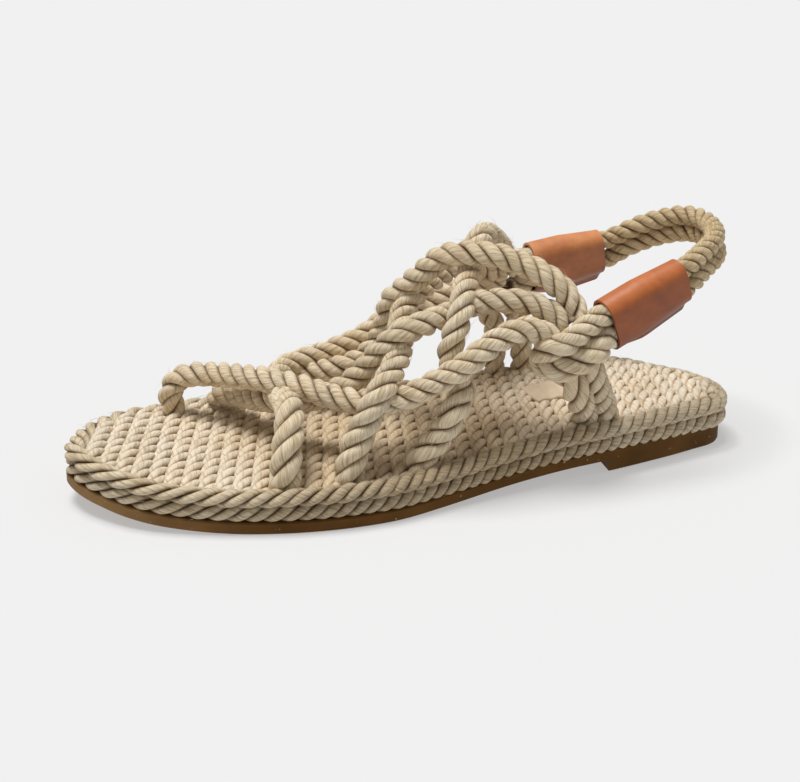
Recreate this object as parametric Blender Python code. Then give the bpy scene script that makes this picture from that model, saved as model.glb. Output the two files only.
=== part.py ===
"""Rope sandal for the left foot, seen along its own axes.

The toe points to -X, the heel to +X, the outer side of the foot is -Y and the inner side +Y.
The sole rests on the floor at Z = 0, and the origin is on the floor below the ball of the foot.
"""

import math
from collections import namedtuple

import bmesh
import bpy
from mathutils import Vector

# Sole, in metres
SOLE_LENGTH = 0.2575
BALL_WIDTH = 0.0992
RUBBER_THICKNESS = 0.0044
HEEL_LIFT = 0.005
HEEL_EDGE_RADIUS = 0.0016
HEEL_FRONT_SLOPE = 0.0015
TOE_SPRING = 0.0075
HEEL_UNDERCUT = 0.0024
EDGE_ROPE_HEIGHT = 0.0052
EDGE_ROPE_WIDTH = 0.0075
ROW_PITCH = 0.0061
ROW_GROOVE = 0.0015

# Patch on the footbed
PATCH_LENGTH = 0.030
PATCH_WIDTH = 0.020
PATCH_THICKNESS = 0.001
# Its middle, as shares of the sole's length and ball width; its turn; its corner, a share of its width
PATCH_ALONG = 0.755
PATCH_ACROSS = 0.085
PATCH_TURN_DEGREES = 8.0
PATCH_CORNER = 0.15

# Ropes over the foot and round the heel
WEB_HEIGHT = 0.070
WEB_ROPE = 0.0098
LEG_ROPE = 0.0120
KNOT_ROPE = 0.0092
HEEL_ROPE = 0.0076

# Leather sleeves
SLEEVE_WALL = 0.0011
SLEEVE_SEAM_DROP = 0.0028
# Where the ropes lie in a sleeve, as shares of its length from the knot
KNOT_TAIL = (0.42, 0.18, -0.04)
STRAP_TAIL = (0.55, 0.80, 1.04)

# Clearance between pieces that touch
SEAT_GAP = 0.0003

# Shares of the sole's length from the toe: the origin, and where the underside changes
ORIGIN_ALONG = 0.33
SPRING_END = 0.248
ARCH_START = 0.416
ARCH_END = 0.733
HEEL_FRONT = 0.780

OUTLINE_STEPS = 5
EDGE_ROPE_POINTS = 80
SOLE_STATIONS = 44
OVAL_SIDES = 10
SLEEVE_SIDES = 16

# Outline of the sole: shares of its length from the toe, and of the ball width to either side
Breadth = namedtuple("Breadth", "along outer inner")
OUTLINE = (
    Breadth(0.009, -0.076, 0.096),
    Breadth(0.022, -0.135, 0.202),
    Breadth(0.040, -0.191, 0.282),
    Breadth(0.065, -0.257, 0.363),
    Breadth(0.099, -0.318, 0.436),
    Breadth(0.139, -0.365, 0.480),
    Breadth(0.188, -0.410, 0.504),
    Breadth(0.238, -0.446, 0.514),
    Breadth(0.297, -0.475, 0.514),
    Breadth(0.366, -0.486, 0.504),
    Breadth(0.436, -0.471, 0.484),
    Breadth(0.515, -0.423, 0.454),
    Breadth(0.604, -0.367, 0.426),
    Breadth(0.693, -0.322, 0.411),
    Breadth(0.772, -0.281, 0.413),
    Breadth(0.842, -0.240, 0.436),
    Breadth(0.893, -0.209, 0.421),
    Breadth(0.934, -0.181, 0.318),
    Breadth(0.966, -0.158, 0.235),
    Breadth(0.987, -0.116, 0.142),
)
TOE_TIP_ACROSS = 0.015
HEEL_TIP_ACROSS = 0.008

# Lean of the footbed's rows towards the heel on the inner side, in degrees
Lean = namedtuple("Lean", "along degrees")
ROW_LEANS = (Lean(0.0, 16), Lean(0.25, 14.5), Lean(0.62, 10), Lean(0.70, 7), Lean(1.0, 4))

# Rope routes, in hundredths: of the sole's length from the toe, of the ball width across,
# and of the web's height above the footbed
Knee = namedtuple("Knee", "along across rise")
INNER_FRONT = (
    Knee(17.5, 39, 0), Knee(17.2, 39, 10), Knee(18.3, 38, 18), Knee(20.6, 34, 23),
    Knee(24.6, 22.5, 27.5), Knee(28.7, 8, 32), Knee(33.4, -7, 34), Knee(36.8, -16.5, 33),
    Knee(40.1, -24.5, 33), Knee(42.9, -29, 34), Knee(46.8, -33, 38), Knee(51.0, -34, 44),
    Knee(54.7, -34, 50), Knee(57.6, -33, 56), Knee(60.3, -32, 60), Knee(63.3, -31, 62),
    Knee(66.3, -30, 58), Knee(69.1, -28.5, 49),
)
INNER_MIDDLE = (
    Knee(24.6, 42, 0), Knee(24.8, 38, 7), Knee(27.5, 24.5, 13), Knee(30.2, 8, 19),
    Knee(33.6, -4, 25), Knee(36.3, -9, 32), Knee(39.5, -11.5, 40), Knee(42.1, -13.5, 50),
    Knee(44.3, -16.5, 59), Knee(46.9, -18.5, 65), Knee(50.4, -17.5, 67), Knee(54.3, -13.5, 67),
    Knee(56.9, -14.5, 71), Knee(59.4, -17.5, 73), Knee(62.7, -20.5, 73), Knee(65.9, -22.5, 70),
    Knee(68.3, -24.5, 65), Knee(70.7, -26.5, 57),
)
INNER_REAR = (
    Knee(32.5, 44, 0), Knee(32.7, 42, 8), Knee(34.6, 39, 14), Knee(36.6, 33, 19),
    Knee(39.6, 28.5, 23), Knee(42.7, 23.5, 30), Knee(45.8, 21.5, 40), Knee(48.1, 20.5, 52),
    Knee(49.3, 16.5, 64), Knee(51.0, 11.5, 73), Knee(53.2, 6, 83), Knee(55.1, 2, 91),
    Knee(57.2, -2, 94), Knee(59.7, -6, 94), Knee(62.3, -10, 93), Knee(65.0, -13.5, 89),
    Knee(67.3, -17.5, 85), Knee(69.4, -20.5, 79), Knee(71.1, -22.5, 72), Knee(72.5, -25.5, 60),
)
OUTER_FRONT = (
    Knee(28.6, -37, 0), Knee(28.7, -37, 7), Knee(29.1, -35, 16), Knee(29.8, -31, 24),
    Knee(30.4, -24.5, 30), Knee(30.9, -11.5, 29), Knee(31.3, 6, 24), Knee(32.1, 21.5, 23),
    Knee(34.0, 30, 24), Knee(36.9, 33, 26), Knee(40.5, 34, 28), Knee(43.8, 35, 31),
    Knee(47.1, 36, 35), Knee(50.2, 37, 41), Knee(53.4, 37, 44), Knee(57.4, 38, 47),
    Knee(61.5, 39, 50), Knee(65.6, 40, 53), Knee(69.3, 40, 54),
)
OUTER_MIDDLE = (
    Knee(37.7, -37, 0), Knee(37.9, -37, 6), Knee(39.0, -36, 15), Knee(40.6, -35, 25),
    Knee(42.1, -35, 35), Knee(43.7, -33, 43), Knee(45.5, -28.5, 47), Knee(46.8, -22.5, 51),
    Knee(47.7, -11.5, 54), Knee(48.6, -2, 57), Knee(49.9, 6, 62), Knee(52.1, 11.5, 67),
    Knee(54.9, 18.5, 69), Knee(57.6, 24.5, 70), Knee(61.3, 30, 69), Knee(65.6, 36, 64),
    Knee(69.1, 40, 57),
)
OUTER_REAR = (
    Knee(47.0, -34, 0), Knee(47.9, -35, 6), Knee(49.7, -35, 12), Knee(51.4, -35, 18),
    Knee(52.7, -35, 25), Knee(54.2, -32, 30), Knee(55.0, -28.5, 35), Knee(54.3, -25.5, 42),
    Knee(53.6, -24.5, 49), Knee(53.8, -24.5, 57), Knee(54.6, -23.5, 65), Knee(55.6, -20.5, 72),
    Knee(56.8, -13.5, 78), Knee(58.8, -3, 81), Knee(60.4, 6, 87), Knee(62.0, 11.5, 92.5),
    Knee(64.1, 18.5, 91), Knee(66.5, 25.5, 82), Knee(68.5, 33, 71), Knee(70.1, 39, 59),
)

# The outer ankle's knot, from the foot up: one leg wraps round and goes into the sleeve, and a
# second rope comes from the sleeve and tucks in
OUTER_WRAP = (
    Knee(74.3, -17.5, 0), Knee(73.7, -20.5, 7), Knee(72.4, -25.5, 16), Knee(70.7, -29, 24),
    Knee(68.4, -32, 31), Knee(66.3, -32, 36), Knee(65.2, -31, 43), Knee(65.2, -32, 49),
    Knee(66.4, -34, 52), Knee(68.4, -35, 52), Knee(70.3, -34, 54), Knee(72.1, -32, 57),
    Knee(74.0, -30, 60),
)
OUTER_TUCK = (
    Knee(74.8, -32, 46), Knee(72.7, -34, 42), Knee(70.8, -34, 39), Knee(68.9, -32, 40),
    Knee(67.7, -28.5, 43),
)
OUTER_SPARE_LEG = (
    Knee(78.6, -17.5, 0), Knee(77.8, -20.5, 9), Knee(76.1, -25.5, 22), Knee(73.9, -28.5, 34),
    Knee(71.7, -26.5, 46),
)

# The inner ankle's knot, laid out as the outer one
INNER_WRAP = (
    Knee(67.9, 38, 0), Knee(68.1, 39, 10), Knee(68.5, 42, 22), Knee(67.7, 44, 30),
    Knee(66.3, 45, 37), Knee(65.6, 45, 44), Knee(66.0, 46, 50), Knee(67.3, 47, 54),
    Knee(69.3, 46, 57), Knee(71.6, 44, 60),
)
INNER_TUCK = (
    Knee(72.3, 45, 46), Knee(70.3, 47, 43), Knee(68.7, 46, 43), Knee(67.5, 42, 46),
)
INNER_SPARE_LEG = (
    Knee(72.5, 38, 0), Knee(72.5, 38.5, 8), Knee(72.3, 41, 20), Knee(71.5, 43, 34),
    Knee(69.9, 41, 48),
)

# Heel strap, the upper of its two ropes between the sleeves
HEEL_LOOP = (
    Knee(93.1, -11.5, 83.5), Knee(96.4, -3, 85.5), Knee(98.6, 9, 86), Knee(99.1, 19.5, 86.5),
    Knee(98.3, 27.5, 86.5), Knee(96.8, 33, 85), Knee(94.7, 38, 81.5), Knee(92.0, 42, 77),
    Knee(89.4, 45, 71.5),
)
# The lower rope stands a little further out than the upper one
LOWER_ROPE_OUT = 0.0010

# Ends of the sleeves on their axes: the front end at the knot, the rear end at the heel strap
SLEEVE_ENDS = {
    "outer": (Knee(76.3, -28.5, 57), Knee(89.5, -18.5, 74)),
    "inner": (Knee(74.1, 43, 56), Knee(86.6, 47, 61)),
}


def length(share):
    """Place along X for a share of the sole's length from the toe."""
    return (share - ORIGIN_ALONG) * SOLE_LENGTH


def share_at(x):
    """Share of the sole's length from the toe for a place along X, kept between toe and heel."""
    return min(max(x / SOLE_LENGTH + ORIGIN_ALONG, 0.0), 1.0)


def underside(x):
    """Height of the sheet of rubber above the floor: toe spring, flat ball, arch, lifted heel."""
    along = share_at(x)
    toe = max(0.0, 1.0 - along / SPRING_END) ** 2.1
    rise = min(max((along - ARCH_START) / (ARCH_END - ARCH_START), 0.0), 1.0)
    return TOE_SPRING * toe + HEEL_LIFT * rise * rise * (3.0 - 2.0 * rise)


def rubber_top(x):
    return underside(x) + RUBBER_THICKNESS


def footbed(x):
    """Height of the rows' crests, level with the top of the upper edge rope."""
    return rubber_top(x) + 2.0 * (EDGE_ROPE_HEIGHT + SEAT_GAP)


def smooth_path(points, steps, closed=False):
    """Centripetal Catmull-Rom curve through the points."""
    count = len(points)
    spans = count if closed else count - 1
    path = []
    for index in range(spans):
        if closed:
            p0, p1, p2, p3 = (points[(index + k) % count] for k in (-1, 0, 1, 2))
        else:
            p1, p2 = points[index], points[index + 1]
            p0 = points[index - 1] if index > 0 else p1 + (p1 - p2)
            p3 = points[index + 2] if index + 2 < count else p2 + (p2 - p1)
        t1 = math.sqrt((p1 - p0).length)
        t2 = t1 + math.sqrt((p2 - p1).length)
        t3 = t2 + math.sqrt((p3 - p2).length)
        for step in range(steps):
            t = t1 + (t2 - t1) * step / steps
            a1 = p0 * ((t1 - t) / t1) + p1 * (t / t1)
            a2 = p1 * ((t2 - t) / (t2 - t1)) + p2 * ((t - t1) / (t2 - t1))
            a3 = p2 * ((t3 - t) / (t3 - t2)) + p3 * ((t - t2) / (t3 - t2))
            b1 = a1 * ((t2 - t) / t2) + a2 * (t / t2)
            b2 = a2 * ((t3 - t) / (t3 - t1)) + a3 * ((t - t1) / (t3 - t1))
            path.append(b1 * ((t2 - t) / (t2 - t1)) + b2 * ((t - t1) / (t2 - t1)))
    if not closed:
        path.append(points[-1].copy())
    return path


def resample(path, count, closed=False):
    """The same path with evenly spaced points."""
    line = path + [path[0]] if closed else path
    reach = [0.0]
    for first, second in zip(line, line[1:]):
        reach.append(reach[-1] + (second - first).length)
    stops = count if closed else count - 1
    points = []
    segment = 0
    for index in range(count):
        goal = reach[-1] * index / stops
        while segment < len(line) - 2 and reach[segment + 1] < goal:
            segment += 1
        share = (goal - reach[segment]) / (reach[segment + 1] - reach[segment])
        points.append(line[segment].lerp(line[segment + 1], min(share, 1.0)))
    return points


def sole_outline():
    """Closed outline of the sole seen from above, from the toe along the outer side."""
    toe = Vector((length(0.0), TOE_TIP_ACROSS * BALL_WIDTH, 0.0))
    heel = Vector((length(1.0), HEEL_TIP_ACROSS * BALL_WIDTH, 0.0))
    outer = [Vector((length(row.along), row.outer * BALL_WIDTH, 0.0)) for row in OUTLINE]
    inner = [Vector((length(row.along), row.inner * BALL_WIDTH, 0.0)) for row in OUTLINE]
    return smooth_path([toe] + outer + [heel] + inner[::-1], OUTLINE_STEPS, closed=True)


def inset(outline, distance, undercut=0.0):
    """The outline moved inwards by a distance, and by an undercut more round the back of the heel."""
    moved = []
    for index, point in enumerate(outline):
        ahead = outline[(index + 1) % len(outline)] - outline[index - 1]
        inward = Vector((-ahead.y, ahead.x, 0.0)).normalized()
        rear = max((share_at(point.x) - HEEL_FRONT) / (1.0 - HEEL_FRONT), 0.0)
        moved.append(point + inward * (distance + undercut * rear * rear))
    return moved


def chord(outline, point, direction):
    """First and last crossing of the outline with a line seen from above."""
    across = Vector((-direction.y, direction.x, 0.0))
    crossings = []
    for first, second in zip(outline, outline[1:] + outline[:1]):
        side_a = (first - point).dot(across)
        side_b = (second - point).dot(across)
        if (side_a < 0.0) != (side_b < 0.0):
            hit = first.lerp(second, side_a / (side_a - side_b))
            crossings.append((hit - point).dot(direction))
    if len(crossings) < 2:
        return None
    return point + direction * min(crossings), point + direction * max(crossings)


def lean_at(along):
    for first, second in zip(ROW_LEANS, ROW_LEANS[1:]):
        if along <= second.along:
            share = (along - first.along) / (second.along - first.along)
            return math.radians(first.degrees + (second.degrees - first.degrees) * share)
    return math.radians(ROW_LEANS[-1].degrees)


def place(knee):
    """A route's point in metres."""
    x = length(knee.along / 100.0)
    return Vector((x, knee.across / 100.0 * BALL_WIDTH, footbed(x) + knee.rise / 100.0 * WEB_HEIGHT))


def make_material(name, color, roughness):
    material = bpy.data.materials.new(name)
    material.use_nodes = True
    shader = material.node_tree.nodes["Principled BSDF"]
    shader.inputs["Base Color"].default_value = (*color, 1.0)
    shader.inputs["Roughness"].default_value = roughness
    shader.inputs["Metallic"].default_value = 0.0
    return material


def loft(name, sections, looped=False):
    """Skin over sections that are closed loops of equally many points, capped unless looped."""
    mesh = bpy.data.meshes.new(name)
    bm = bmesh.new()
    rings = [[bm.verts.new(point) for point in section] for section in sections]
    pairs = list(zip(rings, rings[1:] + rings[:1] if looped else rings[1:]))
    for first, second in pairs:
        count = len(first)
        for index in range(count):
            other = (index + 1) % count
            bm.faces.new((first[index], first[other], second[other], second[index]))
    if not looped:
        bm.faces.new(rings[0][::-1])
        bm.faces.new(rings[-1])
    bmesh.ops.recalc_face_normals(bm, faces=bm.faces)
    bm.to_mesh(mesh)
    bm.free()
    return bpy.data.objects.new(name, mesh)


def finish(obj, collection, material, sharp_degrees=50.0):
    collection.objects.link(obj)
    obj.data.materials.append(material)
    if obj.type == "MESH":
        obj.data.shade_smooth()
        obj.data.set_sharp_from_angle(angle=math.radians(sharp_degrees))
    return obj


def make_outsole(outline):
    """Moulded rubber: a sheet that follows the underside, with the heel block below it."""
    rim = inset(outline, 0.0, HEEL_UNDERCUT)
    foot = inset(outline, HEEL_EDGE_RADIUS, HEEL_UNDERCUT)
    toe = min(point.x for point in rim)
    heel = max(point.x for point in rim)
    turns = [math.pi * (index + 0.5) / SOLE_STATIONS for index in range(SOLE_STATIONS)]
    stations = [toe + (heel - toe) * (0.5 - 0.5 * math.cos(turn)) for turn in turns]
    breast = length(HEEL_FRONT)
    stations = [x for x in stations if abs(x - breast) > 3.0 * HEEL_FRONT_SLOPE]
    stations = sorted(stations + [breast - HEEL_FRONT_SLOPE, breast])
    sections = []
    for x in stations:
        sides = chord(rim, Vector((x, 0.0, 0.0)), Vector((0.0, 1.0, 0.0)))
        ground = chord(foot, Vector((x, 0.0, 0.0)), Vector((0.0, 1.0, 0.0))) or sides
        under = underside(x)
        if x >= breast:
            under = 0.0
        top = rubber_top(x)
        lip = min(HEEL_EDGE_RADIUS, 0.4 * (top - under))
        outer, inner = sides
        ground_outer, ground_inner = ground
        sections.append([
            Vector((x, outer.y, top)),
            Vector((x, outer.y, under + lip)),
            Vector((x, ground_outer.y, under)),
            Vector((x, ground_inner.y, under)),
            Vector((x, inner.y, under + lip)),
            Vector((x, inner.y, top)),
        ])
    return loft("outsole", sections)


def make_edge_rope(name, outline, row):
    """Closed ring of pressed rope on the rubber's rim; row counts from the bottom."""
    line = resample(inset(outline, EDGE_ROPE_WIDTH / 2.0), EDGE_ROPE_POINTS, closed=True)
    sections = []
    for index, centre in enumerate(line):
        ahead = (line[(index + 1) % len(line)] - line[index - 1]).normalized()
        side = Vector((-ahead.y, ahead.x, 0.0))
        height = rubber_top(centre.x) + SEAT_GAP + EDGE_ROPE_HEIGHT / 2.0
        height += row * (EDGE_ROPE_HEIGHT + SEAT_GAP)
        middle = Vector((centre.x, centre.y, height))
        section = []
        for k in range(OVAL_SIDES):
            turn = 2.0 * math.pi * k / OVAL_SIDES
            out = side * (EDGE_ROPE_WIDTH / 2.0 * math.cos(turn))
            up = Vector((0.0, 0.0, EDGE_ROPE_HEIGHT / 2.0 * math.sin(turn)))
            section.append(middle + out + up)
        sections.append(section)
    return loft(name, sections, looped=True)


def make_insole(outline):
    """Footbed inside the edge ropes, its top ribbed by rows of rope across the foot."""
    edge = inset(outline, EDGE_ROPE_WIDTH + 2.0 * SEAT_GAP)
    rows = int((SOLE_LENGTH - 2.0 * EDGE_ROPE_WIDTH) / ROW_PITCH)
    profile = (0.0, 0.72, 1.0, 0.72)
    sections = []
    for index in range(4 * rows + 1):
        x = length(0.5) + (index / 4.0 - rows / 2.0) * ROW_PITCH
        lean = lean_at(share_at(x))
        direction = Vector((math.sin(lean), math.cos(lean), 0.0))
        ends = chord(edge, Vector((x, 0.0, 0.0)), direction)
        if ends is None or (ends[1] - ends[0]).length < 2.0 * ROW_PITCH:
            continue
        drop = ROW_GROOVE * (1.0 - profile[index % 4])
        line = (ends[0], ends[0].lerp(ends[1], 0.5), ends[1])
        crest = [Vector((p.x, p.y, footbed(p.x) - drop)) for p in line]
        base = [Vector((p.x, p.y, rubber_top(p.x) + SEAT_GAP)) for p in line[::-1]]
        sections.append(crest + base)
    return loft("insole", sections)


def make_patch():
    """Smooth blank patch that lies on the rows under the arch and heel."""
    middle = Vector((length(PATCH_ALONG), PATCH_ACROSS * BALL_WIDTH, 0.0))
    turn = math.radians(PATCH_TURN_DEGREES)
    along = Vector((math.cos(turn), math.sin(turn), 0.0))
    across = Vector((-along.y, along.x, 0.0))
    corner = PATCH_WIDTH * PATCH_CORNER
    half = PATCH_WIDTH / 2.0
    sections = []
    for share, narrow in ((-0.5, corner), (-0.4, 0.0), (0.0, 0.0), (0.4, 0.0), (0.5, corner)):
        centre = middle + along * (share * PATCH_LENGTH)
        outer = centre - across * (half - narrow)
        inner = centre + across * (half - narrow)
        section = []
        for point, lift in ((outer, 0.0), (inner, 0.0), (inner, PATCH_THICKNESS), (outer, PATCH_THICKNESS)):
            section.append(Vector((point.x, point.y, footbed(point.x) + SEAT_GAP + lift)))
        sections.append(section)
    return loft("insole_patch", sections)


def rope_curve(name, route, start_diameter, end_diameter, upright=False):
    """Round rope as a bevelled curve along a smooth route; an upright one starts with its foot."""
    path = smooth_path(route[1:] if upright else route, 8)
    run = sum((b - a).length for a, b in zip(path, path[1:]))
    points = resample(path, max(3, round(run / (0.7 * end_diameter))))
    if upright:
        points.insert(0, route[0])
    count = len(points)
    curve = bpy.data.curves.new(name, "CURVE")
    curve.dimensions = "3D"
    curve.bevel_depth = end_diameter / 2.0
    curve.bevel_resolution = 3
    curve.use_fill_caps = True
    spline = curve.splines.new("POLY")
    spline.points.add(count - 1)
    taper = 0.3 * count
    for index, (slot, point) in enumerate(zip(spline.points, points)):
        slot.co = (*point, 1.0)
        slot.radius = 1.0 + (start_diameter / end_diameter - 1.0) * max(0.0, 1.0 - index / taper)
    return bpy.data.objects.new(name, curve)


def as_mesh(obj):
    """The curve object's evaluated shape as a mesh object with welded caps."""
    bpy.context.scene.collection.objects.link(obj)
    graph = bpy.context.evaluated_depsgraph_get()
    mesh = bpy.data.meshes.new_from_object(obj.evaluated_get(graph), depsgraph=graph)
    bm = bmesh.new()
    bm.from_mesh(mesh)
    bmesh.ops.remove_doubles(bm, verts=bm.verts, dist=0.00001)
    bmesh.ops.recalc_face_normals(bm, faces=bm.faces)
    bm.to_mesh(mesh)
    bm.free()
    solid = bpy.data.objects.new(obj.name + "_solid", mesh)
    solid.matrix_world = obj.matrix_world.copy()
    curve = obj.data
    bpy.data.objects.remove(obj)
    bpy.data.curves.remove(curve)
    return solid


def legged(route, diameter):
    """A route whose first point stands upright on the footbed's rows, level with its crests."""
    points = [place(knee) for knee in route]
    foot = points[0]
    half = diameter / 2.0
    foot.z = max(footbed(foot.x - half), footbed(foot.x + half)) + SEAT_GAP
    ankle = foot + Vector((0.0, 0.0, 0.3 * diameter))
    return [foot, ankle] + points[1:]


def sleeve_frame(side):
    """Both ends of a sleeve's axis, and the directions along it, up and sideways."""
    front, rear = (place(knee) for knee in SLEEVE_ENDS[side])
    along = (rear - front).normalized()
    sideways = along.cross(Vector((0.0, 0.0, 1.0))).normalized()
    up = sideways.cross(along).normalized()
    return front, rear, along, up, sideways


def knot_tail(side, level):
    """Where a knot's rope lies inside its sleeve; level is 1 above the axis and -1 below it."""
    front, rear, along, up, _ = sleeve_frame(side)
    half = (KNOT_ROPE / 2.0) * level
    reach = (rear - front).length
    return [front + along * (share * reach) + up * half for share in KNOT_TAIL]


def strap_tail(side, level):
    """Where a heel rope lies inside its sleeve, from its hidden end to the sleeve's rear end."""
    front, rear, along, up, _ = sleeve_frame(side)
    half = (HEEL_ROPE + SEAT_GAP) / 2.0 * level
    reach = (rear - front).length
    return [front + along * (share * reach) + up * half for share in STRAP_TAIL]


def make_upper(collection, cutters, material):
    """Web of six crossing ropes with both ankle knots and their legs, joined where they cross."""
    outer_upper = knot_tail("outer", 1.0)[::-1]
    outer_lower = knot_tail("outer", -1.0)
    inner_upper = knot_tail("inner", 1.0)[::-1]
    inner_lower = knot_tail("inner", -1.0)
    ropes = (
        ("inner_front", legged(INNER_FRONT, WEB_ROPE), WEB_ROPE, WEB_ROPE, True),
        ("inner_middle", legged(INNER_MIDDLE, WEB_ROPE), WEB_ROPE, WEB_ROPE, True),
        ("inner_rear", legged(INNER_REAR, WEB_ROPE), WEB_ROPE, WEB_ROPE, True),
        ("outer_front", legged(OUTER_FRONT, LEG_ROPE), LEG_ROPE, WEB_ROPE, True),
        ("outer_middle", legged(OUTER_MIDDLE, LEG_ROPE), LEG_ROPE, WEB_ROPE, True),
        ("outer_rear", legged(OUTER_REAR, LEG_ROPE), LEG_ROPE, WEB_ROPE, True),
        ("outer_wrap", legged(OUTER_WRAP, KNOT_ROPE) + outer_upper, KNOT_ROPE, KNOT_ROPE, True),
        ("outer_tuck", outer_lower + [place(k) for k in OUTER_TUCK], KNOT_ROPE, KNOT_ROPE),
        ("outer_spare_leg", legged(OUTER_SPARE_LEG, KNOT_ROPE), KNOT_ROPE, KNOT_ROPE, True),
        ("inner_wrap", legged(INNER_WRAP, KNOT_ROPE) + inner_upper, KNOT_ROPE, KNOT_ROPE, True),
        ("inner_tuck", inner_lower + [place(k) for k in INNER_TUCK], KNOT_ROPE, KNOT_ROPE),
        ("inner_spare_leg", legged(INNER_SPARE_LEG, KNOT_ROPE), KNOT_ROPE, KNOT_ROPE, True),
    )
    solids = [as_mesh(rope_curve(*rope)) for rope in ropes]
    upper = solids[0]
    upper.name = "upper"
    for solid in solids[1:]:
        cutters.objects.link(solid)
        solid.hide_render = True
        solid.display_type = "WIRE"
        union = upper.modifiers.new("join " + solid.name, "BOOLEAN")
        union.operation = "UNION"
        union.solver = "MANIFOLD"
        union.object = solid
    finish(upper, collection, material)


def make_heel_rope(name, level):
    """One of the two ropes of the heel strap, from sleeve to sleeve round the heel."""
    drop = (HEEL_ROPE + SEAT_GAP) * (0.0 if level > 0 else 1.0)
    out = 0.0 if level > 0 else LOWER_ROPE_OUT
    loop = [place(knee) + Vector((out, 0.0, -drop)) for knee in HEEL_LOOP]
    route = strap_tail("outer", level) + loop + strap_tail("inner", level)[::-1]
    return rope_curve(name, route, HEEL_ROPE, HEEL_ROPE)


def make_sleeve(side):
    """Leather wrap round two ropes one above the other, with its seam pressed flat below."""
    front, rear, along, up, sideways = sleeve_frame(side)
    reach = (rear - front).length
    slack = 2.0 * SEAT_GAP
    outer_rings = []
    inner_rings = []
    for share in (0.0, 0.12, 0.35, 0.6, 0.85, 0.93, 1.0):
        rope = KNOT_ROPE + (HEEL_ROPE - KNOT_ROPE) * min(1.0, max(0.0, (share - 0.42) / 0.5))
        centre = front + along * (share * reach)
        seam = SLEEVE_SEAM_DROP * min(1.0, share / 0.35) if share < 0.9 else 0.0
        outer_rings.append(oval_ring(centre, up, sideways, rope, slack + SLEEVE_WALL, seam))
        inner_rings.append(oval_ring(centre, up, sideways, rope, slack, 0.0))
    return loft("sleeve_" + side, outer_rings + inner_rings[::-1], looped=True)


def oval_ring(centre, up, sideways, rope, margin, seam):
    """Loop round two touching ropes, one above the other, with the seam's lip at the bottom."""
    radius = (rope / 2.0 + margin) / math.cos(math.pi / SLEEVE_SIDES)
    lift = rope / 2.0
    ring = []
    for k in range(SLEEVE_SIDES):
        turn = 2.0 * math.pi * (k + 0.5) / SLEEVE_SIDES
        high = lift if math.sin(turn) > 0 else -lift
        drop = seam if math.sin(turn) < -0.95 else 0.0
        squeeze = 0.55 if drop else 1.0
        side = sideways * (radius * math.cos(turn) * squeeze)
        ring.append(centre + side + up * (high + radius * math.sin(turn) - drop))
    return ring


def main():
    for obj in list(bpy.data.objects):
        bpy.data.objects.remove(obj)
    parts = bpy.data.collections.new("rope_sandal")
    cutters = bpy.data.collections.new("cutters")
    bpy.context.scene.collection.children.link(parts)
    bpy.context.scene.collection.children.link(cutters)

    rubber = make_material("rubber", (0.27, 0.16, 0.07), 0.55)
    edge_low = make_material("edge_rope_lower", (0.62, 0.50, 0.34), 0.85)
    edge_high = make_material("edge_rope_upper", (0.66, 0.54, 0.38), 0.85)
    footbed_rope = make_material("footbed_rope", (0.68, 0.55, 0.38), 0.85)
    patch = make_material("patch", (0.66, 0.52, 0.36), 0.6)
    web_rope = make_material("web_rope", (0.70, 0.58, 0.40), 0.8)
    strap_upper = make_material("heel_rope_upper", (0.68, 0.57, 0.40), 0.8)
    strap_lower = make_material("heel_rope_lower", (0.66, 0.55, 0.38), 0.8)
    leather_outer = make_material("sleeve_outer", (0.42, 0.13, 0.045), 0.45)
    leather_inner = make_material("sleeve_inner", (0.40, 0.12, 0.042), 0.45)

    outline = sole_outline()
    finish(make_outsole(outline), parts, rubber, 35.0)
    finish(make_edge_rope("edge_rope_lower", outline, 0), parts, edge_low)
    finish(make_edge_rope("edge_rope_upper", outline, 1), parts, edge_high)
    finish(make_insole(outline), parts, footbed_rope)
    finish(make_patch(), parts, patch, 35.0)
    make_upper(parts, cutters, web_rope)
    finish(make_heel_rope("heel_rope_upper", 1.0), parts, strap_upper)
    finish(make_heel_rope("heel_rope_lower", -1.0), parts, strap_lower)
    finish(make_sleeve("outer"), parts, leather_outer, 40.0)
    finish(make_sleeve("inner"), parts, leather_inner, 40.0)


main()
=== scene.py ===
"""Looks of the rope sandal: stranded ropes, leather wraps and a rubber sole on the fixed frame."""

import math
from collections import namedtuple

import bmesh
import bpy
import numpy as np
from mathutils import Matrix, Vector


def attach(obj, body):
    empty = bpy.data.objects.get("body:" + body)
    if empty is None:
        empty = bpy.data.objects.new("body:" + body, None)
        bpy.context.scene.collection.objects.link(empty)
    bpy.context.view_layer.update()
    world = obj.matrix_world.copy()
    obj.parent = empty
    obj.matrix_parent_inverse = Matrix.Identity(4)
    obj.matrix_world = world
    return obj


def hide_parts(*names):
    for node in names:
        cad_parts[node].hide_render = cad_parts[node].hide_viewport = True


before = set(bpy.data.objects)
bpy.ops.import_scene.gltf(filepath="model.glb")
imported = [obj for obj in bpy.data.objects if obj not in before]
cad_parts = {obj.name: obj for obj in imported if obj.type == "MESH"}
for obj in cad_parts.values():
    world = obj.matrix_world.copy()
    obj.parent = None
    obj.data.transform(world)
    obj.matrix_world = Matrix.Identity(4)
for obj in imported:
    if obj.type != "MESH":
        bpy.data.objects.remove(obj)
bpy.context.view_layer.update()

# Sizes of the frame's solids, in metres
SOLE_LENGTH = 0.2575
BALL_WIDTH = 0.0992
RUBBER_THICKNESS = 0.0044
HEEL_LIFT = 0.005
HEEL_FRONT_SLOPE = 0.0015
TOE_SPRING = 0.0075
HEEL_UNDERCUT = 0.0024
EDGE_ROPE_HEIGHT = 0.0052
EDGE_ROPE_WIDTH = 0.0075
WEB_HEIGHT = 0.070
WEB_ROPE = 0.0098
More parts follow.
